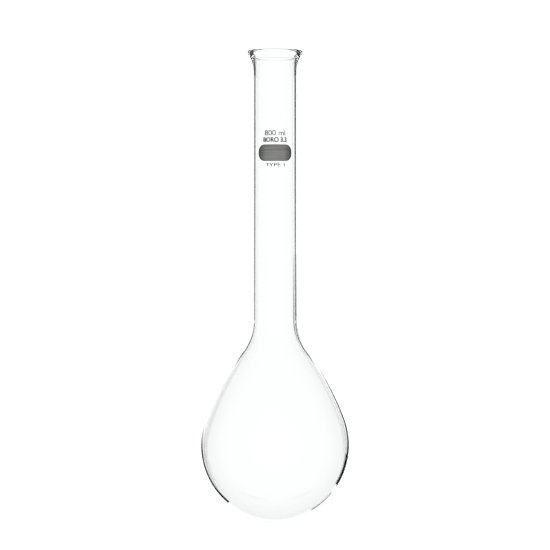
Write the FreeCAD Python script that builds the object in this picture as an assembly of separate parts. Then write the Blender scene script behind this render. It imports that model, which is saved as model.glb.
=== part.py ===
"""Long-neck, round-bottomed digestion flask in clear borosilicate glass, nominal capacity 800 ml.

Millimetres, +Z up. The origin is the lowest point of the bulb, on the flask's axis, and the print faces -Y.
The glass is made in three sections that meet face to face: a blown bulb with a short stub of neck, a straight
neck tube, and a tooled mouth. The fired enamel print lies on the outside of the neck tube.
"""

import FreeCAD, Part
import math
import os

# Overall sizes
FLASK_HEIGHT = 365.0  # bottom of the bulb to the crown of the lip
BULB_DIAMETER = 115.0  # outside, at the equator
NECK_DIAMETER = 34.0  # outside

# Thickness of the glass
BULB_WALL = 1.8
NECK_WALL = 1.7

# Outline of the bulb. Slopes are in degrees, measured from upright.
SIDE_ARC_OFFSET = 2.0  # the side arcs are struck this far past the axis, so the bulb is a little taller than a ball
POLE_SLOPE = 65.0  # slope below the equator where the side arc meets the rounder bottom
CHEEK_SLOPE = 20.5  # slope above the equator where the side arc meets the long shoulder
SHOULDER_SLOPE = 37.0  # steepest slope, where the shoulder turns into the fillet under the neck
NECK_FILLET = 37.0  # radius of the outside of that fillet
SEAL_STUB = 3.0  # straight neck on the bulb, up to the line where the tube is sealed on

# Tooled mouth
MOUTH_LENGTH = 15.5  # from the start of the flare to the crown of the lip
LIP_DIAMETER = 42.6  # outside
LIP_ROUND = 2.1  # radius of the lip's rounded edge

# Fired enamel
ENAMEL_THICKNESS = 0.12
SPOT_WIDTH = 28.1  # along the curve of the neck
SPOT_HEIGHT = 12.8
SPOT_CORNER = 5.8
SPOT_BELOW_CROWN = 80.1  # from the crown of the lip down to the middle of the spot
LEGEND_GAP_ABOVE = 1.9  # from the spot up to the second line
LEGEND_GAP_BELOW = 1.5  # from the spot down to the third line
LEGEND_LINE_GAP = 1.4  # between the two lines above the spot


class Lettering:
    """One printed line: its words, the height of its capitals, its pen width and its letter spacing."""

    def __init__(self, words, capital, pen, spacing):
        self.words = words
        self.capital = capital
        self.pen = pen
        self.spacing = spacing


CAPACITY = Lettering("800 ml", capital=4.1, pen=0.42, spacing=0.70)
GLASS_KIND = Lettering("BORO 3.3", capital=3.6, pen=0.65, spacing=0.3)
GLASS_TYPE = Lettering("TYPE 1", capital=2.6, pen=0.35, spacing=1.3)

NECK_RADIUS = NECK_DIAMETER / 2
BORE_RADIUS = NECK_RADIUS - NECK_WALL
Z_AXIS = FreeCAD.Vector(0, 0, 1)
FULL_TURN = 360.0


def point(radius, height):
    """A point of an outline, in the XZ plane."""
    return FreeCAD.Vector(radius, 0, height)


def direction(degrees):
    """The unit vector at this angle above +X, in the XZ plane."""
    angle = math.radians(degrees)
    return FreeCAD.Vector(math.cos(angle), 0, math.sin(angle))


def slope_of(vector):
    """The angle of this vector above +X, in degrees."""
    return math.degrees(math.atan2(vector.z, vector.x))


def arc(centre, radius, first, last):
    """An arc about centre in the XZ plane, from the angle first to the angle last, in degrees above +X."""
    angles = (first, (first + last) / 2, last)
    return Part.Arc(*(centre + direction(a) * radius for a in angles)).toShape()


def line(start, end):
    """A straight edge."""
    return Part.LineSegment(start, end).toShape()


def turned(edges):
    """The solid that a closed outline in the XZ plane makes when it is turned about the axis."""
    outline = Part.Wire(Part.__sortEdges__(edges))
    return Part.Face(outline).revolve(FreeCAD.Vector(), Z_AXIS, FULL_TURN)


class BulbOutline:
    """Bottom, side, shoulder and fillet as four tangent arcs, from the pole up to the straight neck.

    The outside has no wall taken off. The inside is the same outline, smaller by the two wall thicknesses, and
    the shoulder's radius is whatever makes the arcs end exactly on the neck.
    """

    def __init__(self, bulb_wall=0.0, neck_wall=0.0):
        side = BULB_DIAMETER / 2 + SIDE_ARC_OFFSET - bulb_wall
        pole = side - SIDE_ARC_OFFSET / math.cos(math.radians(POLE_SLOPE))
        fillet = NECK_FILLET + neck_wall
        pole_centre = point(0, pole + bulb_wall)
        drop = SIDE_ARC_OFFSET * math.tan(math.radians(POLE_SLOPE))
        side_centre = point(-SIDE_ARC_OFFSET, pole_centre.z + drop)

        cheek = direction(CHEEK_SLOPE)
        steepest = direction(SHOULDER_SLOPE)
        inward = BULB_DIAMETER / 2 - bulb_wall - (NECK_RADIUS - neck_wall)
        left_for_shoulder = inward - side * (1 - cheek.x) - fillet * (1 - steepest.x)
        shoulder = left_for_shoulder / (cheek.x - steepest.x)
        shoulder_centre = side_centre + cheek * (side - shoulder)
        fillet_centre = shoulder_centre + steepest * (shoulder + fillet)

        self.bottom = point(0, bulb_wall)
        self.top = fillet_centre - point(fillet, 0)
        self.edges = [
            arc(pole_centre, pole, -90, -POLE_SLOPE),
            arc(side_centre, side, -POLE_SLOPE, CHEEK_SLOPE),
            arc(shoulder_centre, shoulder, CHEEK_SLOPE, SHOULDER_SLOPE),
            arc(fillet_centre, fillet, 180 + SHOULDER_SLOPE, 180),
        ]


OUTSIDE = BulbOutline()
INSIDE = BulbOutline(BULB_WALL, NECK_WALL)
SEAL_HEIGHT = OUTSIDE.top.z + SEAL_STUB
MOUTH_START = FLASK_HEIGHT - MOUTH_LENGTH


def make_bulb():
    """The blown bulb, open at the top of its stub of neck."""
    outer_end = point(NECK_RADIUS, SEAL_HEIGHT)
    inner_end = point(BORE_RADIUS, SEAL_HEIGHT)
    straight = [
        line(OUTSIDE.top, outer_end),
        line(outer_end, inner_end),
        line(inner_end, INSIDE.top),
        line(INSIDE.bottom, OUTSIDE.bottom),
    ]
    return turned(OUTSIDE.edges + INSIDE.edges + straight)


def tube(inner, outer, low, high):
    """A straight tube on the axis."""
    base = point(0, low)
    return Part.makeCylinder(outer, high - low, base).cut(Part.makeCylinder(inner, high - low, base))


def make_neck_tube():
    """The straight neck, from the seal on the bulb to the start of the flare."""
    return tube(BORE_RADIUS, NECK_RADIUS, SEAL_HEIGHT, MOUTH_START)


def make_tooled_mouth():
    """The flared mouth. One arc leaves the neck on each side of the wall, and both run into the rounded lip."""
    outer_start = point(NECK_RADIUS, MOUTH_START)
    inner_start = point(BORE_RADIUS, MOUTH_START)
    lip_centre = point(LIP_DIAMETER / 2 - LIP_ROUND, FLASK_HEIGHT - LIP_ROUND)
    rise = lip_centre.z - MOUTH_START

    outer_step = lip_centre.x - NECK_RADIUS
    outer_flare = (rise**2 + outer_step**2 - LIP_ROUND**2) / (2 * (outer_step + LIP_ROUND))
    outer_centre = outer_start + point(outer_flare, 0)
    under_lip = slope_of(outer_centre - lip_centre)

    inner_step = lip_centre.x - BORE_RADIUS
    inner_flare = (rise**2 + inner_step**2 - LIP_ROUND**2) / (2 * (inner_step - LIP_ROUND))
    inner_centre = inner_start + point(inner_flare, 0)
    inside_lip = slope_of(lip_centre - inner_centre)

    return turned(
        [
            line(inner_start, outer_start),
            arc(outer_centre, outer_flare, 180, 180 + under_lip),
            arc(lip_centre, LIP_ROUND, under_lip, inside_lip),
            arc(inner_centre, inner_flare, inside_lip, 180),
        ]
    )


def enamel_band(low, high, half_width):
    """Enamel on the neck between two heights, reaching half_width each side of the front along the curve."""
    half_angle = math.degrees(half_width / NECK_RADIUS)
    height = high - low
    outer_radius = NECK_RADIUS + ENAMEL_THICKNESS
    base = point(0, low)
    outer = Part.makeCylinder(outer_radius, height, base, Z_AXIS, 2 * half_angle)
    band = outer.cut(Part.makeCylinder(NECK_RADIUS, height, base))
    band.rotate(FreeCAD.Vector(), Z_AXIS, -90 - half_angle)
    return band


def at_the_front(shape, along):
    """The shape, turned about the axis from the middle of the front to this place along the curve."""
    shape.rotate(FreeCAD.Vector(), Z_AXIS, math.degrees(along / NECK_RADIUS))
    return shape


def make_marking_spot():
    """The writing spot: a rectangle of enamel with rounded corners, wrapped round the front of the neck."""
    middle = FLASK_HEIGHT - SPOT_BELOW_CROWN
    low = middle - SPOT_HEIGHT / 2
    high = middle + SPOT_HEIGHT / 2
    half_width = SPOT_WIDTH / 2
    tall = enamel_band(low, high, half_width - SPOT_CORNER)
    wide = enamel_band(low + SPOT_CORNER, high - SPOT_CORNER, half_width)
    whole = enamel_band(low, high, half_width)
    corners = []
    for height in (low + SPOT_CORNER, high - SPOT_CORNER):
        for along in (SPOT_CORNER - half_width, half_width - SPOT_CORNER):
            peg = Part.makeCylinder(SPOT_CORNER, NECK_DIAMETER, point(0, height), FreeCAD.Vector(0, -1, 0))
            corners.append(at_the_front(peg, along).common(whole))
    return tall.multiFuse([wide] + corners).removeSplitter()


class Pen:
    """Draws letters as solid strokes, facing -Y. Letters are 1 high, on a base line at 0, and start at x = 0."""

    FACING = FreeCAD.Vector(0, -1, 0)

    def __init__(self, lettering):
        self.half = lettering.pen / 2
        self.scale = lettering.capital - lettering.pen

    def place(self, x, z):
        """Where the middle of the pen is for a point of the letter, so that the ink keeps to its height."""
        return FreeCAD.Vector(x * self.scale, 0, self.half + z * self.scale)

    def thick(self, outline):
        """The solid block of a closed flat outline, from the axis out past the glass."""
        return Part.Face(Part.Wire(outline)).extrude(self.FACING * NECK_DIAMETER)

    def dot(self, x, z):
        """A round spot of ink as wide as the pen."""
        return Part.makeCylinder(self.half, NECK_DIAMETER, self.place(x, z), self.FACING)

    def bar(self, x0, z0, x1, z1):
        """A straight stroke with round ends."""
        start = self.place(x0, z0)
        end = self.place(x1, z1)
        across = (end - start).cross(self.FACING).normalize() * self.half
        corners = (start + across, end + across, end - across, start - across, start + across)
        body = self.thick(Part.makePolygon(corners))
        return body.multiFuse([self.dot(x0, z0), self.dot(x1, z1)])

    def bow(self, x, z, radius, first, last):
        """A round stroke with round ends about x, z, between two angles in degrees above +X."""
        centre = self.place(x, z)
        middle = radius * self.scale
        inner = middle - self.half
        outer = middle + self.half
        if abs(last - first) >= FULL_TURN:
            ring = Part.makeCylinder(outer, NECK_DIAMETER, centre, self.FACING)
            return ring.cut(Part.makeCylinder(inner, NECK_DIAMETER, centre, self.FACING))
        ends = [direction(a) for a in (first, last)]
        closing = [line(centre + end * inner, centre + end * outer) for end in ends]
        sides = [arc(centre, inner, first, last), arc(centre, outer, first, last)]
        body = self.thick(Part.__sortEdges__(sides + closing))
        caps = [
            Part.makeCylinder(self.half, NECK_DIAMETER, centre + end * middle, self.FACING)
            for end in ends
        ]
        return body.multiFuse(caps)


# Each letter: its width and its strokes. A bar has its two ends; a bow has its centre, radius and two angles.
LETTERS = {
    " ": (0.28, []),
    ".": (0.0, [("dot", 0, 0)]),
    "l": (0.0, [("bar", 0, 0, 0, 1)]),
    "1": (0.28, [("bar", 0.28, 0, 0.28, 1), ("bar", 0, 0.76, 0.28, 1)]),
    "0": (
        0.56,
        [
            ("bar", 0, 0.28, 0, 0.72),
            ("bar", 0.56, 0.28, 0.56, 0.72),
            ("bow", 0.28, 0.72, 0.28, 0, 180),
            ("bow", 0.28, 0.28, 0.28, 180, 360),
        ],
    ),
    "8": (0.54, [("bow", 0.27, 0.77, 0.23, 0, 360), ("bow", 0.27, 0.27, 0.27, 0, 360)]),
    "3": (0.52, [("bow", 0.25, 0.77, 0.23, 155, -90), ("bow", 0.25, 0.27, 0.27, 90, -155)]),
    "m": (
        0.84,
        [
            ("bar", 0, 0, 0, 0.7),
            ("bar", 0.42, 0, 0.42, 0.49),
            ("bar", 0.84, 0, 0.84, 0.49),
            ("bow", 0.21, 0.49, 0.21, 0, 180),
            ("bow", 0.63, 0.49, 0.21, 0, 180),
        ],
    ),
    "B": (
        0.54,
        [
            ("bar", 0, 0, 0, 1),
            ("bar", 0, 1, 0.28, 1),
            ("bar", 0, 0.52, 0.28, 0.52),
            ("bar", 0, 0, 0.28, 0),
            ("bow", 0.28, 0.76, 0.24, 90, -90),
            ("bow", 0.28, 0.26, 0.26, 90, -90),
        ],
    ),
    "O": (
        0.72,
        [
            ("bar", 0, 0.36, 0, 0.64),
            ("bar", 0.72, 0.36, 0.72, 0.64),
            ("bow", 0.36, 0.64, 0.36, 0, 180),
            ("bow", 0.36, 0.36, 0.36, 180, 360),
        ],
    ),
    "R": (
        0.54,
        [
            ("bar", 0, 0, 0, 1),
            ("bar", 0, 1, 0.28, 1),
            ("bar", 0, 0.48, 0.28, 0.48),
            ("bar", 0.24, 0.48, 0.56, 0),
            ("bow", 0.28, 0.74, 0.26, 90, -90),
        ],
    ),
    "P": (
        0.54,
        [
            ("bar", 0, 0, 0, 1),
            ("bar", 0, 1, 0.28, 1),
            ("bar", 0, 0.48, 0.28, 0.48),
            ("bow", 0.28, 0.74, 0.26, 90, -90),
        ],
    ),
    "T": (0.64, [("bar", 0, 1, 0.64, 1), ("bar", 0.32, 0, 0.32, 1)]),
    "Y": (0.64, [("bar", 0, 1, 0.32, 0.5), ("bar", 0.64, 1, 0.32, 0.5), ("bar", 0.32, 0, 0.32, 0.5)]),
    "E": (
        0.5,
        [("bar", 0, 0, 0, 1), ("bar", 0, 1, 0.5, 1), ("bar", 0, 0.52, 0.44, 0.52), ("bar", 0, 0, 0.5, 0)],
    ),
}


def solid_letter(pen, strokes):
    """One letter as a block made of its strokes, from the axis out past the glass."""
    blocks = [getattr(pen, kind)(*places) for kind, *places in strokes]
    if len(blocks) == 1:
        return blocks[0]
    return blocks[0].multiFuse(blocks[1:]).removeSplitter()


def make_legend(lettering, low):
    """A line of print centred on the front, with its base line at this height. Each letter is a solid."""
    pen = Pen(lettering)
    widths = [LETTERS[letter][0] * pen.scale + lettering.pen for letter in lettering.words]
    total = sum(widths) + lettering.spacing * (len(widths) - 1)
    skin = enamel_band(low, low + lettering.capital, total)
    solids = []
    start = -total / 2
    for letter, width in zip(lettering.words, widths):
        strokes = LETTERS[letter][1]
        if strokes:
            block = solid_letter(pen, strokes)
            block.translate(point(lettering.pen / 2 - width / 2, low))
            solids += at_the_front(block, start + width / 2).common(skin).Solids
        start += width + lettering.spacing
    return Part.makeCompound(solids)


def make_parts():
    """Every section of the flask, by the name of its node."""
    spot_top = FLASK_HEIGHT - SPOT_BELOW_CROWN + SPOT_HEIGHT / 2
    spot_bottom = spot_top - SPOT_HEIGHT
    second_line = spot_top + LEGEND_GAP_ABOVE
    first_line = second_line + GLASS_KIND.capital + LEGEND_LINE_GAP
    third_line = spot_bottom - LEGEND_GAP_BELOW - GLASS_TYPE.capital
    return {
        "bulb": make_bulb(),
        "neck_tube": make_neck_tube(),
        "tooled_mouth": make_tooled_mouth(),
        "marking_spot": make_marking_spot(),
        "capacity_legend": make_legend(CAPACITY, first_line),
        "glass_legend": make_legend(GLASS_KIND, second_line),
        "type_legend": make_legend(GLASS_TYPE, third_line),
    }


def main():
    """Write one STEP file for each node."""
    os.makedirs("parts", exist_ok=True)
    for name, shape in make_parts().items():
        shape.exportStep(f"parts/{name}.step")
        print(f"{name}: {len(shape.Solids)} solids, {shape.Volume:.2f} mm3")


main()
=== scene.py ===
"""Long-neck, round-bottomed digestion flask in clear borosilicate glass, dressed for a bright-field studio shot.

Metres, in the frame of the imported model: +Z up the flask's axis, the print faces -Y. Heights and diameters come
from the model's own boxes. What a box cannot say, such as a wall or an arc's radius, is a field of the sub-part.
"""

import logging
import math
from dataclasses import dataclass, field
from enum import Enum

import bpy
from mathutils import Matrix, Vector


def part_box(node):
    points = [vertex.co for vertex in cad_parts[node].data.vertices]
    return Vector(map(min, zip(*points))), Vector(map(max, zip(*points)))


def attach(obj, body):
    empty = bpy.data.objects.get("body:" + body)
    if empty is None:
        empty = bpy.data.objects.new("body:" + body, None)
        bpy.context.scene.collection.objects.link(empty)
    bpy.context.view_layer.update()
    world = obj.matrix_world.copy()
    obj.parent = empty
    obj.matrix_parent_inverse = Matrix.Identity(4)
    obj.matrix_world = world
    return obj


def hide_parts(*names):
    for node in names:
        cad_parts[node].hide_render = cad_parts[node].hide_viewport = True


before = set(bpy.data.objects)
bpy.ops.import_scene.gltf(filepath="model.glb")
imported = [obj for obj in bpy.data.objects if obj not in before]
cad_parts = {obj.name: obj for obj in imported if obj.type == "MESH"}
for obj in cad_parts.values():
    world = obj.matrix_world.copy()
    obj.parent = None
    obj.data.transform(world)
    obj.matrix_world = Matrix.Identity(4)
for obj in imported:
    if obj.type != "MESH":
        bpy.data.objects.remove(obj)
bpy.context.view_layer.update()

log = logging.getLogger("flask")

MM = 0.001
WELD = 0.001 * MM  # corners this near each other are merged
TENT = 1.09  # brightness of the white tent, a little over plain white
WHITE = (1.0, 1.0, 1.0, 1.0)
LONGEST_LIGHT_PATH = 32  # bounces; the lip's bead turns light round inside itself many times
LONGEST_GLOSSY_PATH = 16  # and as many transparent surfaces
FILTER_WIDTH = 1.1  # a little narrower than usual, so the thin edge lines stay crisp

Point = tuple[float, float]
Colour = tuple[float, float, float, float]


# ---------------------------------------------------------------- shared helpers


def linear(hex_code: str) -> Colour:
    """Turn an sRGB hex colour into the linear colour that a shader takes.

    Args:
        hex_code: Six hex digits after a hash, such as "#7A7A78".

    Returns:
        Red, green, blue and an alpha of 1.
    """
    channels = [int(hex_code[i : i + 2], 16) / 255 for i in (1, 3, 5)]
    low = [c / 12.92 if c <= 0.04045 else ((c + 0.055) / 1.055) ** 2.4 for c in channels]
    return (low[0], low[1], low[2], 1.0)


def add_node(tree: bpy.types.NodeTree, kind: str, settings: dict | None = None, **inputs: object) -> bpy.types.Node:
    """Add one shader node.

    Args:
        tree: The node tree that the node goes into.
        kind: The node's type name, such as "ShaderNodeTexNoise".
        settings: Properties of the node itself.
        inputs: For each input socket, its value, or an output socket to link it to. An underscore in a name
            stands for a space.

    Returns:
        The new node.
    """
    node = tree.nodes.new(kind)
    for name, value in (settings or {}).items():
        setattr(node, name, value)
    for name, value in inputs.items():
        socket = node.inputs[name.replace("_", " ")]
        if isinstance(value, bpy.types.NodeSocket):
            tree.links.new(value, socket)
        else:
            socket.default_value = value
    return node


def new_material(name: str) -> tuple[bpy.types.Material, bpy.types.NodeTree, bpy.types.Node]:
    """Make an empty node material.

    Args:
        name: What the material is, such as "fired_enamel_printed".

    Returns:
        The material, its node tree and its output node.
    """
    material = bpy.data.materials.new(name)
    material.use_nodes = True
    tree = material.node_tree
    tree.nodes.clear()
    return material, tree, add_node(tree, "ShaderNodeOutputMaterial")


def leave_edit_mode() -> None:
    """Return to object mode with nothing selected."""
    if bpy.context.object is not None and bpy.context.object.mode != "OBJECT":
        bpy.ops.object.mode_set(mode="OBJECT")
    bpy.ops.object.select_all(action="DESELECT")


def select_only(piece: bpy.types.Object) -> None:
    """Make this piece the only selected object and the active one.

    Args:
        piece: The piece to select.
    """
    leave_edit_mode()
    piece.select_set(True)
    bpy.context.view_layer.objects.active = piece


def dress(piece: bpy.types.Object, material: bpy.types.Material) -> None:
    """Give the whole piece one material."""
    piece.data.materials.clear()
    piece.data.materials.append(material)


def install(piece: bpy.types.Object, slot: str, *nodes: str) -> None:
    """Put a finished piece in the place of model nodes, on the flask's one rigid body.

    Args:
        piece: The finished piece.
        slot: The record's material slot. It is not used.
        nodes: The model nodes that it stands for.
    """
    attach(piece, "root")
    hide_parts(*nodes)
    log.info("%s: %d faces, stands for %s", piece.name, len(piece.data.polygons), ", ".join(nodes))


# ---------------------------------------------------------------- finishes


class Side(Enum):
    """Which side of the view a card hangs on, seen from the camera."""

    LEFT = -1
    RIGHT = 1


class CardTone(Enum):
    """How much of the tent's light a card gives back."""

    BLACK = 0.004
    PALE = 0.62


@dataclass(frozen=True)
class BorosilicateGlass:
    """Borosilicate glass 3.3, drawn and blown, then fire-polished.

    To the eye it is colourless and mirror smooth, bright inside and dark only along its edges, with a trace of green
    where light runs a long way through it.
    """

    index: float = 1.473
    surface: str = "#FDFEFE"
    body_colour: str = "#D6E8E4"
    body_density: float = 4.0
    draw_line_mm: float = 1.3
    draw_line_length: float = 100.0  # in widths
    draw_line_depth_mm: float = 0.05
    draw_line_strength: float = 0.004

    def material(self) -> bpy.types.Material:
        """Make the glass, with draw lines that run along the axis as on drawn tube.

        Returns:
            The finished material.
        """
        material, tree, output = new_material("borosilicate_glass_fire_polished")
        coordinates = add_node(tree, "ShaderNodeTexCoord")
        width = self.draw_line_mm * MM
        stretch = add_node(
            tree,
            "ShaderNodeMapping",
            Vector=coordinates.outputs["Object"],
            Scale=(1 / width, 1 / width, 1 / (width * self.draw_line_length)),
        )
        lines = add_node(tree, "ShaderNodeTexNoise", Vector=stretch.outputs["Vector"], Scale=1.0, Detail=2.0)
        bump = add_node(
            tree,
            "ShaderNodeBump",
            Strength=self.draw_line_strength,
            Distance=self.draw_line_depth_mm * MM,
            Height=lines.outputs["Fac"],
        )
        glass = add_node(
            tree,
            "ShaderNodeBsdfPrincipled",
            Base_Color=linear(self.surface),
            Roughness=0.0,
            IOR=self.index,
            Transmission_Weight=1.0,
            Normal=bump.outputs["Normal"],
        )
        body = add_node(
            tree,
            "ShaderNodeVolumeAbsorption",
            Color=linear(self.body_colour),
            Density=self.body_density,
        )
        tree.links.new(glass.outputs["BSDF"], output.inputs["Surface"])
        tree.links.new(body.outputs["Volume"], output.inputs["Volume"])
        return material


@dataclass(frozen=True)
class FiredEnamel:
    """Dark grey ceramic enamel, screen printed and fired onto the glass.

    To the eye it is opaque and satin, a little streaked where the squeegee ran, and darker toward the ends of a
    print: that darkening is painted shade, where the neck curves away from the light. A screen's threads are about
    0.1 mm apart, which is too fine to show, so the streaks are drawn six times as coarse.
    """

    name: str
    light: str
    dark: str
    # The colour below and the two distances after it paint shade: darker toward the print's ends, where the neck
    # curves away from the light.
    end_shade: str
    ends_from_mm: float = 7.0
    ends_to_mm: float = 12.6
    roughness: float = 0.34
    streak_mm: float = 0.6
    streak_length: float = 60.0  # in widths
    light_from: float = 0.3
    light_to: float = 0.7
    grain_mm: float = 0.12
    grain_depth_mm: float = 0.01
    grain_strength: float = 0.2

    def material(self) -> bpy.types.Material:
        """Make the enamel, with streaks round the neck, a fine grain, and painted shade that darkens its ends.

        Returns:
            The finished material.
        """
        material, tree, output = new_material(f"ceramic_enamel_{self.name}_fired")
        coordinates = add_node(tree, "ShaderNodeTexCoord")
        width = self.streak_mm * MM
        length = width * self.streak_length
        stretch = add_node(
            tree,
            "ShaderNodeMapping",
            Vector=coordinates.outputs["Object"],
            Scale=(1 / length, 1 / length, 1 / width),
        )
        streaks = add_node(tree, "ShaderNodeTexNoise", Vector=stretch.outputs["Vector"], Scale=1.0, Detail=2.0)
        grain = add_node(
            tree,
            "ShaderNodeTexNoise",
            Vector=coordinates.outputs["Object"],
            Scale=1 / (self.grain_mm * MM),
            Detail=2.0,
        )
        tone = add_node(tree, "ShaderNodeValToRGB", Fac=streaks.outputs["Fac"])
        for stop, position, colour in zip(
            tone.color_ramp.elements, (self.light_from, self.light_to), (self.dark, self.light)
        ):
            stop.position = position
            stop.color = linear(colour)
        # Painted shade: the colour is mixed toward the darker one across the print's ends, where the neck curves away
        # from the light.
        place = add_node(tree, "ShaderNodeSeparateXYZ", Vector=coordinates.outputs["Object"])
        along = add_node(tree, "ShaderNodeMath", {"operation": "ABSOLUTE"}, Value=place.outputs["X"])
        painted_end_shade = add_node(
            tree,
            "ShaderNodeMapRange",
            Value=along.outputs["Value"],
            From_Min=self.ends_from_mm * MM,
            From_Max=self.ends_to_mm * MM,
        )
        shade = add_node(
            tree,
            "ShaderNodeMix",
            {"data_type": "RGBA"},
            Factor=painted_end_shade.outputs["Result"],
            A=tone.outputs["Color"],
            B=linear(self.end_shade),
        )
        bump = add_node(
            tree,
            "ShaderNodeBump",
            Strength=self.grain_strength,
            Distance=self.grain_depth_mm * MM,
            Height=grain.outputs["Fac"],
        )
        enamel = add_node(
            tree,
            "ShaderNodeBsdfPrincipled",
            Base_Color=shade.outputs["Result"],
            Roughness=self.roughness,
            Normal=bump.outputs["Normal"],
        )
        tree.links.new(enamel.outputs["BSDF"], output.inputs["Surface"])
        return material


@dataclass(frozen=True)
class BacklitAcrylic:
    """The studio table: white acrylic sheet, cast matt and lit from below, so that a shadow on it hardly shows."""

    colour: str = "#F4F4F4"
    roughness: float = 0.9
    glow: float = 0.75

    def material(self) -> bpy.types.Material:
        """Make the table's matt white, with the glow of the light under it.

        Returns:
            The finished material.
        """
        material, tree, output = new_material("white_acrylic_table")
        sheet = add_node(
            tree,
            "ShaderNodeBsdfPrincipled",
            Base_Color=linear(self.colour),
            Roughness=self.roughness,
            Specular_IOR_Level=0.0,
            Emission_Color=WHITE,
            Emission_Strength=self.glow,
        )
        tree.links.new(sheet.outputs["BSDF"], output.inputs["Surface"])
        return material


@dataclass(frozen=True)
class PaintedCard:
    """Foam card with rolled matt paint, which gives back an even tone with a faint roller mottle.

    A graduated card goes from its own tone to the tent's white between two places along one of its directions.
    """

    name: str
    tone: CardTone
    axis: str = "Y"
    fade: tuple[float, float] | None = None
    mottle_mm: float = 30.0
    mottle: float = 0.06

    def material(self) -> bpy.types.Material:
        """Make the paint, as the share of the tent's light that it gives back.

        Returns:
            The finished material.
        """
        material, tree, output = new_material(f"matt_painted_card_{self.name}")
        coordinates = add_node(tree, "ShaderNodeTexCoord")
        roller = add_node(
            tree, "ShaderNodeTexNoise", Vector=coordinates.outputs["Object"], Scale=1 / (self.mottle_mm * MM)
        )
        strength = add_node(
            tree,
            "ShaderNodeMapRange",
            Value=roller.outputs["Fac"],
            To_Min=self.tone.value * (1 - self.mottle),
            To_Max=self.tone.value * (1 + self.mottle),
        ).outputs["Result"]
        if self.fade is not None:
            place = add_node(tree, "ShaderNodeSeparateXYZ", Vector=coordinates.outputs["Object"])
            white = add_node(
                tree,
                "ShaderNodeMapRange",
                {"interpolation_type": "SMOOTHSTEP"},
                Value=place.outputs[self.axis],
                From_Min=self.fade[0],
                From_Max=self.fade[1],
            )
            strength = add_node(
                tree, "ShaderNodeMix", {"data_type": "FLOAT"}, Factor=white.outputs["Result"], A=strength, B=TENT
            ).outputs["Result"]
        paint = add_node(tree, "ShaderNodeEmission", Color=WHITE, Strength=strength)
        tree.links.new(paint.outputs["Emission"], output.inputs["Surface"])
        return material


# ---------------------------------------------------------------- the glass


class Outline:
    """Points of a half section, radius and height, laid one after another."""

    def __init__(self) -> None:
        """Start with no points."""
        self.points: list[Point] = []

    def add(self, radius: float, height: float) -> None:
        """Add one point, unless it repeats the last one.

        Args:
            radius: How far it is from the axis.
            height: How high it is.
        """
        if self.points and math.dist(self.points[-1], (radius, height)) < 1e-7:
            return
        self.points.append((radius, height))

    def arc(self, centre: Point, radius: float, first: float, last: float, step: float) -> None:
        """Add points along an arc.

        Args:
            centre: Radius and height of the arc's centre.
            radius: The arc's radius.
            first: Angle of its first point, in degrees above the outward direction.
            last: Angle of its last point.
            step: Longest distance between two points.
        """
        sweep = math.radians(last - first)
        count = max(2, math.ceil(abs(sweep) * radius / step))
        for i in range(count + 1):
            angle = math.radians(first) + sweep * i / count
            self.add(centre[0] + radius * math.cos(angle), centre[1] + radius * math.sin(angle))

    def line_to(self, radius: float, height: float, step: float) -> None:
        """Add points along a straight line from the last point to a new one.

        Args:
            radius: How far the new point is from the axis.
            height: How high it is.
            step: Longest distance between two points.
        """
        start = self.points[-1]
        count = max(1, math.ceil(math.dist(start, (radius, height)) / step))
        for i in range(1, count + 1):
            share = i / count
            self.add(start[0] + (radius - start[0]) * share, start[1] + (height - start[1]) * share)


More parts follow.
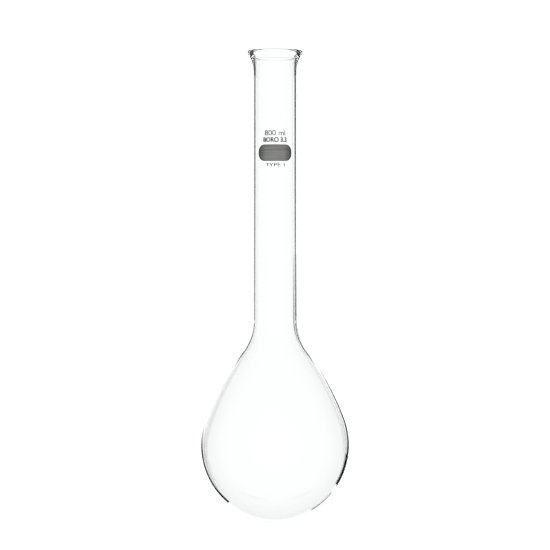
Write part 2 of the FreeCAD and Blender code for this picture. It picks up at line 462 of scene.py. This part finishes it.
@dataclass
class GlassBody:
    """Bulb, neck and tooled mouth as the one piece of glass that they are.

    The outside is four tangent arcs from the pole to the neck, the straight neck, and the flare up to the rounded
    lip. The inside is the same, smaller by the walls.
    """

    bulb_wall: float = 1.8 * MM
    neck_wall: float = 1.7 * MM
    side_arc_offset: float = 2.0 * MM
    pole_slope: float = 65.0
    cheek_slope: float = 20.5
    shoulder_slope: float = 37.0
    neck_fillet: float = 37.0 * MM
    lip_round: float = 2.1 * MM
    step: float = 1.3 * MM
    lip_step: float = 0.3 * MM
    neck_step: float = 6.0 * MM
    segments: int = 192

    bulb_radius: float = field(init=False)
    neck_radius: float = field(init=False)
    lip_radius: float = field(init=False)
    mouth_start: float = field(init=False)
    crown: float = field(init=False)

    def __post_init__(self) -> None:
        """Take the diameters and heights from the model's boxes."""
        # The side-to-side size of a turned mesh can be a hair short, so the wider of X and Y is taken.
        self.bulb_radius = self.half_width("bulb")
        self.neck_radius = self.half_width("neck_tube")
        self.lip_radius = self.half_width("tooled_mouth")
        low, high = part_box("tooled_mouth")
        self.mouth_start = low[2]
        self.crown = high[2]

    @staticmethod
    def half_width(node: str) -> float:
        """Return half the wider side of a node's box, seen from above."""
        low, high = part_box(node)
        return max(high[0] - low[0], high[1] - low[1]) / 2

    def bulb_side(self, outline: Outline, bulb_wall: float, neck_wall: float) -> None:
        """Add the bulb's outline, from its pole to the top of its shoulder.

        Args:
            outline: The outline that it is added to.
            bulb_wall: What is taken off the bulb: its wall for the inside, 0 for the outside.
            neck_wall: The same for the neck.
        """
        side = self.bulb_radius + self.side_arc_offset - bulb_wall
        pole = side - self.side_arc_offset / math.cos(math.radians(self.pole_slope))
        fillet = self.neck_fillet + neck_wall
        pole_height = pole + bulb_wall
        side_height = pole_height + self.side_arc_offset * math.tan(math.radians(self.pole_slope))
        cheek = Vector((math.cos(math.radians(self.cheek_slope)), math.sin(math.radians(self.cheek_slope))))
        steepest = Vector((math.cos(math.radians(self.shoulder_slope)), math.sin(math.radians(self.shoulder_slope))))
        inward = self.bulb_radius - bulb_wall - (self.neck_radius - neck_wall)
        shoulder = (inward - side * (1 - cheek.x) - fillet * (1 - steepest.x)) / (cheek.x - steepest.x)
        side_centre = Vector((-self.side_arc_offset, side_height))
        shoulder_centre = side_centre + cheek * (side - shoulder)
        fillet_centre = shoulder_centre + steepest * (shoulder + fillet)
        outline.arc((0.0, pole_height), pole, -90, -self.pole_slope, self.step)
        outline.arc(tuple(side_centre), side, -self.pole_slope, self.cheek_slope, self.step)
        outline.arc(tuple(shoulder_centre), shoulder, self.cheek_slope, self.shoulder_slope, self.step)
        outline.arc(tuple(fillet_centre), fillet, 180 + self.shoulder_slope, 180, self.step)

    def flare(self, neck_radius: float, sense: int) -> tuple[float, Point, float]:
        """Find the arc that leaves the neck upright and runs into the lip's round.

        Args:
            neck_radius: Radius where the arc leaves the neck.
            sense: 1 for the outside, which meets the lip from below, or -1 for the inside, which the lip rounds off.

        Returns:
            The arc's radius, its centre, and the angle on the lip's round at which they meet, in degrees.
        """
        rise = self.crown - self.lip_round - self.mouth_start
        step = self.lip_radius - self.lip_round - neck_radius
        radius = (rise**2 + step**2 - self.lip_round**2) / (2 * (step + sense * self.lip_round))
        centre = (neck_radius + radius, self.mouth_start)
        meeting = math.atan2(-rise * sense, (radius - step) * sense)
        return radius, centre, math.degrees(meeting)

    def outline(self) -> list[Point]:
        """Draw the half section of the glass, from the outside pole round the lip to the inside pole.

        Returns:
            Its points in order.
        """
        outside = Outline()
        self.bulb_side(outside, 0.0, 0.0)
        outside.line_to(self.neck_radius, self.mouth_start, self.neck_step)
        radius, centre, under_lip = self.flare(self.neck_radius, 1)
        outside.arc(centre, radius, 180, 180 + under_lip, self.lip_step * 2)
        inner_radius, inner_centre, inside_lip = self.flare(self.neck_radius - self.neck_wall, -1)
        lip_centre = (self.lip_radius - self.lip_round, self.crown - self.lip_round)
        outside.arc(lip_centre, self.lip_round, under_lip, inside_lip, self.lip_step)
        outside.arc(inner_centre, inner_radius, inside_lip, 180, self.lip_step * 2)
        inside = Outline()
        self.bulb_side(inside, self.bulb_wall, self.neck_wall)
        outside.line_to(*inside.points[-1], self.neck_step)
        for place in reversed(inside.points[:-1]):
            outside.add(*place)
        # The two poles lie exactly on the axis, so that they close.
        outside.points[0] = (0.0, outside.points[0][1])
        outside.points[-1] = (0.0, outside.points[-1][1])
        return outside.points

    def build(self) -> bpy.types.Object:
        """Draw the half section as a chain of extruded points and spin it round the axis.

        Returns:
            The glass as one closed shell.
        """
        points = self.outline()
        leave_edit_mode()
        start = points[0]
        bpy.ops.mesh.primitive_plane_add(size=self.step, location=(start[0], 0.0, start[1]))
        glass = bpy.context.object
        glass.name = "flask_glass"
        bpy.ops.object.transform_apply(location=True, rotation=True, scale=True)
        bpy.ops.object.mode_set(mode="EDIT")
        bpy.ops.mesh.select_all(action="SELECT")
        bpy.ops.mesh.merge(type="CENTER")
        for before, after in zip(points, points[1:]):
            move = (after[0] - before[0], 0.0, after[1] - before[1])
            bpy.ops.mesh.extrude_region_move(TRANSFORM_OT_translate={"value": move})
        bpy.ops.mesh.select_all(action="SELECT")
        bpy.ops.mesh.spin(steps=self.segments, angle=math.tau, center=(0, 0, 0), axis=(0, 0, 1))
        bpy.ops.mesh.select_all(action="SELECT")
        bpy.ops.mesh.remove_doubles(threshold=WELD)
        bpy.ops.mesh.normals_make_consistent(inside=False)
        leave_edit_mode()
        select_only(glass)
        bpy.ops.object.shade_smooth()
        return glass

    def finish(self, glass: BorosilicateGlass) -> None:
        """Build the glass, dress it and put it in the place of the model's three sections.

        Args:
            glass: Its finish.
        """
        piece = self.build()
        dress(piece, glass.material())
        install(piece, "borosilicate_glass", "bulb", "neck_tube", "tooled_mouth")


# ---------------------------------------------------------------- the print


@dataclass
class Print:
    """Enamel on the outside of the neck. It is drawn flat, given its thickness, and wrapped round the glass."""

    neck_radius: float
    node: str
    fusion: float = 0.03 * MM  # how deep the enamel is melted into the glass
    thickness: float = 0.12 * MM
    strip: float = 0.6 * MM
    crease: float = 30.0  # edges sharper than this many degrees stay sharp

    def build(self) -> bpy.types.Object:
        """Make the finished piece of enamel. Each kind of print has its own way."""
        raise NotImplementedError

    def finish(self, enamel: bpy.types.Material) -> None:
        """Build the piece, dress it and put it in the place of its model node.

        Args:
            enamel: Its material.
        """
        piece = self.build()
        dress(piece, enamel)
        install(piece, "fired_enamel", self.node)

    def width_along_curve(self) -> float:
        """Work out the node's width along the neck's curve, which its box gives only as a chord.

        Returns:
            The width.
        """
        low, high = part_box(self.node)
        reach = min(1.0, (high[0] - low[0]) / 2 / (self.neck_radius + self.thickness))
        return 2 * self.neck_radius * math.asin(reach)

    def cut_in_strips(self, piece: bpy.types.Object) -> None:
        """Cut a flat piece into upright strips, narrow enough to follow the curve.

        Args:
            piece: The flat piece, upright in the XZ plane.
        """
        across = [corner.co.x for corner in piece.data.vertices]
        low, high = min(across), max(across)
        count = math.ceil((high - low) / self.strip)
        select_only(piece)
        bpy.ops.object.mode_set(mode="EDIT")
        for i in range(1, count):
            bpy.ops.mesh.select_all(action="SELECT")
            place = low + (high - low) * i / count
            bpy.ops.mesh.bisect(plane_co=(place, 0, 0), plane_no=(1, 0, 0))
        leave_edit_mode()

    def wrap(self, piece: bpy.types.Object) -> None:
        """Thicken a flat piece that lies in the XZ plane and roll it onto the neck, facing -Y.

        Args:
            piece: The flat piece, cut in strips.
        """
        select_only(piece)
        bpy.ops.object.mode_set(mode="EDIT")
        bpy.ops.mesh.select_all(action="SELECT")
        bpy.ops.mesh.remove_doubles(threshold=WELD)
        bpy.ops.mesh.extrude_region_move(
            TRANSFORM_OT_translate={"value": (0.0, -(self.thickness + self.fusion), 0.0)}
        )
        leave_edit_mode()
        for corner in piece.data.vertices:
            angle = corner.co.x / self.neck_radius
            radius = self.neck_radius - self.fusion - corner.co.y
            corner.co = Vector((radius * math.sin(angle), -radius * math.cos(angle), corner.co.z))
        select_only(piece)
        bpy.ops.object.mode_set(mode="EDIT")
        bpy.ops.mesh.select_all(action="SELECT")
        bpy.ops.mesh.normals_make_consistent(inside=False)
        leave_edit_mode()
        select_only(piece)
        bpy.ops.object.shade_smooth_by_angle(angle=math.radians(self.crease))


@dataclass
class MarkingSpot(Print):
    """The patch of enamel that takes a pencil mark: a rectangle with large round corners."""

    corner: float = 5.8 * MM
    corner_segments: int = 12

    def build(self) -> bpy.types.Object:
        """Make the spot.

        Returns:
            The finished spot on the neck.
        """
        low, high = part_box(self.node)
        leave_edit_mode()
        bpy.ops.mesh.primitive_plane_add(size=1.0, location=(0, 0, 0), rotation=(math.pi / 2, 0, 0))
        spot = bpy.context.object
        spot.name = f"{self.node}_enamel"
        spot.scale = (self.width_along_curve(), high[2] - low[2], 1.0)
        spot.location = (0.0, 0.0, (low[2] + high[2]) / 2)
        bpy.ops.object.transform_apply(location=True, rotation=True, scale=True)
        bpy.ops.object.mode_set(mode="EDIT")
        bpy.ops.mesh.select_all(action="SELECT")
        bpy.ops.mesh.bevel(affect="VERTICES", offset=self.corner, segments=self.corner_segments, offset_type="OFFSET")
        leave_edit_mode()
        self.cut_in_strips(spot)
        self.wrap(spot)
        return spot


class Weight(Enum):
    """How heavy a line of print is: how far its letters are grown, as a share of their height."""

    REGULAR = 0.0
    BOLD = 0.03


@dataclass
class Legend(Print):
    """One line of print, scaled to the model node that it stands for."""

    words: str = ""
    weight: Weight = Weight.REGULAR
    curve_segments: int = 6

    def build(self) -> bpy.types.Object:
        """Set the words, turn them into a mesh, scale them to the node's box and wrap them.

        Returns:
            The finished line of print on the neck.
        """
        low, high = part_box(self.node)
        width = self.width_along_curve()
        height = high[2] - low[2]
        leave_edit_mode()
        bpy.ops.object.text_add(location=(0, 0, 0))
        legend = bpy.context.object
        legend.name = f"{self.node}_enamel"
        legend.data.body = self.words
        legend.data.resolution_u = self.curve_segments
        legend.data.offset = self.weight.value
        bpy.ops.object.convert(target="MESH")
        corners = [vertex.co.copy() for vertex in legend.data.vertices]
        left = min(c.x for c in corners)
        right = max(c.x for c in corners)
        bottom = min(c.y for c in corners)
        top = max(c.y for c in corners)
        for vertex, corner in zip(legend.data.vertices, corners):
            across = ((corner.x - left) / (right - left) - 0.5) * width
            up = (corner.y - bottom) / (top - bottom) * height + low[2]
            vertex.co = Vector((across, 0.0, up))
        self.cut_in_strips(legend)
        self.wrap(legend)
        return legend


# ---------------------------------------------------------------- the studio


@dataclass(frozen=True)
class Card:
    """One black, four-cornered card beside the flask, in metres.

    Each corner is how far it is from the flask's axis to the side, its height, and how far it is behind the flask:
    the upper inner corner first, then the upper outer, the lower outer and the lower inner one. A card with a fade
    goes to white between those two heights. A card is named for the part of the flask whose edge line it draws.
    """

    name: str
    corners: tuple[tuple[float, float, float], ...]
    fade: tuple[float, float] | None = None


LEFT_CARDS = (
    Card("bulb", ((0.18, 0.14, 0.6), (0.36, 0.14, 0.6), (0.28, -0.30, 0.6), (0.14, -0.135, 0.6)), fade=(0.0, 0.13)),
    Card("neck", ((0.068, 0.36, 0.09), (0.130, 0.36, 0.09), (0.088, 0.154, 0.09), (0.066, 0.154, 0.09))),
    Card("mouth", ((0.027, 0.52, 0.03), (0.110, 0.52, 0.03), (0.090, 0.347, 0.03), (0.030, 0.347, 0.03))),
)
RIGHT_CARDS = (
    Card("bulb", ((0.17, 0.21, 0.6), (0.26, 0.21, 0.6), (0.38, -0.02, 0.6), (0.165, -0.02, 0.6)), fade=(0.16, 0.24)),
    Card("belly", ((0.165, -0.02, 0.6), (0.45, -0.02, 0.6), (0.42, -0.22, 0.6), (0.16, -0.076, 0.6))),
    Card("foot", ((0.17, -0.11, 0.6), (0.23, -0.15, 0.6), (0.18, -0.26, 0.6), (0.12, -0.18, 0.6))),
    Card("neck", ((0.061, 0.36, 0.09), (0.130, 0.36, 0.09), (0.086, 0.154, 0.09), (0.065, 0.154, 0.09))),
    Card("mouth", ((0.025, 0.52, 0.03), (0.110, 0.52, 0.03), (0.090, 0.347, 0.03), (0.029, 0.347, 0.03))),
)


@dataclass
class Studio:
    """A white tent with a backlit table, a grey paper sleeve, cards beside the field of view, and a long lens.

    The sleeve and the cards ride on the camera's stand, so the glass has its dark edges from every side. They are
    seen only through the glass and in it.
    """

    sleeve_radius: float = 1.0
    sleeve_behind: float = 2.2
    sleeve_in_front: float = 3.6
    sleeve_grey: float = 0.2  # share of each half that is evenly grey, next to the flask
    sleeve_sides: int = 96
    table_size: float = 12.0
    table_drop: float = 0.2 * MM
    distance: float = 2.9
    farthest_seen: float = 50.0
    field_width: float = 425.9 * MM
    view_height: float = 190.7 * MM
    sensor: float = 36.0

    def light(self) -> None:
        """Make the white tent."""
        world = bpy.data.worlds.new("white_tent")
        world.use_nodes = True
        background = world.node_tree.nodes["Background"]
        background.inputs["Color"].default_value = WHITE
        background.inputs["Strength"].default_value = TENT
        bpy.context.scene.world = world

    def table(self) -> None:
        """Make the table."""
        leave_edit_mode()
        bpy.ops.mesh.primitive_plane_add(size=self.table_size, location=(0, 0, -self.table_drop))
        sheet = bpy.context.object
        sheet.name = "studio_table"
        dress(sheet, BacklitAcrylic().material())
        # The glass sees past the table to the tent and the cards, as on a clear stand.
        sheet.visible_transmission = False
        sheet.visible_glossy = False

    def camera(self) -> bpy.types.Object:
        """Make the camera, level, a little above half the flask's height.

        Returns:
            The camera.
        """
        data = bpy.data.cameras.new("long_lens")
        data.sensor_width = self.sensor
        data.lens = self.sensor * self.distance / self.field_width
        data.clip_end = self.farthest_seen
        camera = bpy.data.objects.new("studio_camera", data)
        bpy.context.scene.collection.objects.link(camera)
        camera.location = (0.0, -self.distance, self.view_height)
        camera.rotation_euler = (math.pi / 2, 0.0, 0.0)
        bpy.context.scene.camera = camera
        return camera

    def ride_on_stand(self, camera: bpy.types.Object, piece: bpy.types.Object) -> None:
        """Hang a finished card on the camera's stand, where only the glass sees it.

        Args:
            camera: The camera that it rides on.
            piece: The finished card.
        """
        piece.parent = camera
        piece.visible_camera = False
        piece.visible_diffuse = False
        piece.visible_shadow = False

    def hang(self, camera: bpy.types.Object, card: Card, side: Side) -> None:
        """Hang one card on the camera's stand.

        Args:
            camera: The camera that it rides on.
            card: The card.
            side: The side that it hangs on.
        """
        leave_edit_mode()
        bpy.ops.mesh.primitive_plane_add(size=1.0)
        piece = bpy.context.object
        piece.name = f"card_{side.name.lower()}_{card.name}"
        loop = [piece.data.loops[i].vertex_index for i in piece.data.polygons[0].loop_indices]
        for index, (across, height, behind) in zip(loop, card.corners):
            place = (side.value * across, height - self.view_height, -(self.distance + behind))
            piece.data.vertices[index].co = Vector(place)
        fade = None if card.fade is None else tuple(height - self.view_height for height in card.fade)
        dress(piece, PaintedCard(f"{side.name.lower()}_{card.name}", CardTone.BLACK, fade=fade).material())
        self.ride_on_stand(camera, piece)

    def sleeve(self, camera: bpy.types.Object, name: str, reach: float) -> None:
        """Roll one half of a paper sleeve round the field of view, pale grey beside the flask and white at its end.

        Args:
            camera: The camera that it rides on.
            name: The half's name.
            reach: How far its white end is from the flask along the view, positive behind it.
        """
        leave_edit_mode()
        bpy.ops.mesh.primitive_cylinder_add(
            vertices=self.sleeve_sides,
            radius=self.sleeve_radius,
            depth=abs(reach),
            end_fill_type="NOTHING",
            location=(0, 0, -(self.distance + reach / 2)),
        )
        piece = bpy.context.object
        piece.name = f"graduated_sleeve_{name}"
        bpy.ops.object.transform_apply(location=True, rotation=True, scale=True)
        select_only(piece)
        bpy.ops.object.shade_smooth()
        fade = (-(self.distance + reach * self.sleeve_grey), -(self.distance + reach))
        dress(piece, PaintedCard(f"sleeve_{name}", CardTone.PALE, axis="Z", fade=fade, mottle=0.0).material())
        self.ride_on_stand(camera, piece)

    def cards(self, camera: bpy.types.Object) -> None:
        """Roll the sleeve, and hang the cards on both sides inside it.

        Args:
            camera: The camera that they ride on.
        """
        self.sleeve(camera, "behind", self.sleeve_behind)
        self.sleeve(camera, "in_front", -self.sleeve_in_front)
        for side, cards in ((Side.LEFT, LEFT_CARDS), (Side.RIGHT, RIGHT_CARDS)):
            for card in cards:
                self.hang(camera, card, side)


def set_colour_and_bounces() -> None:
    """Show the scene's light as it is, and follow light far enough through the lip's thick glass."""
    scene = bpy.context.scene
    scene.view_settings.view_transform = "Standard"
    scene.view_settings.look = "None"
    scene.cycles.filter_width = FILTER_WIDTH
    scene.cycles.max_bounces = LONGEST_LIGHT_PATH
    scene.cycles.transmission_bounces = LONGEST_LIGHT_PATH
    scene.cycles.glossy_bounces = LONGEST_GLOSSY_PATH
    scene.cycles.transparent_max_bounces = LONGEST_GLOSSY_PATH


def main() -> None:
    """Build the studio and the flask, piece by piece."""
    logging.basicConfig(level=logging.INFO, format="%(name)s: %(message)s")
    set_colour_and_bounces()
    studio = Studio()
    studio.light()
    studio.table()
    studio.cards(studio.camera())

    body = GlassBody()
    body.finish(BorosilicateGlass())

    # The third colour of each enamel is painted shade for the ends of its prints.
    filled = FiredEnamel("filled_area", light="#747473", dark="#585857", end_shade="#282827").material()
    fine = FiredEnamel("fine_line", light="#2F2F2E", dark="#242423", end_shade="#1E1E1D").material()
    MarkingSpot(body.neck_radius, "marking_spot").finish(filled)
    for node, words, weight in (
        ("capacity_legend", "800 ml", Weight.REGULAR),
        ("glass_legend", "BORO 3.3", Weight.BOLD),
        ("type_legend", "TYPE 1", Weight.REGULAR),
    ):
        Legend(body.neck_radius, node, words=words, weight=weight).finish(fine)


if __name__ == "__main__":
    main()
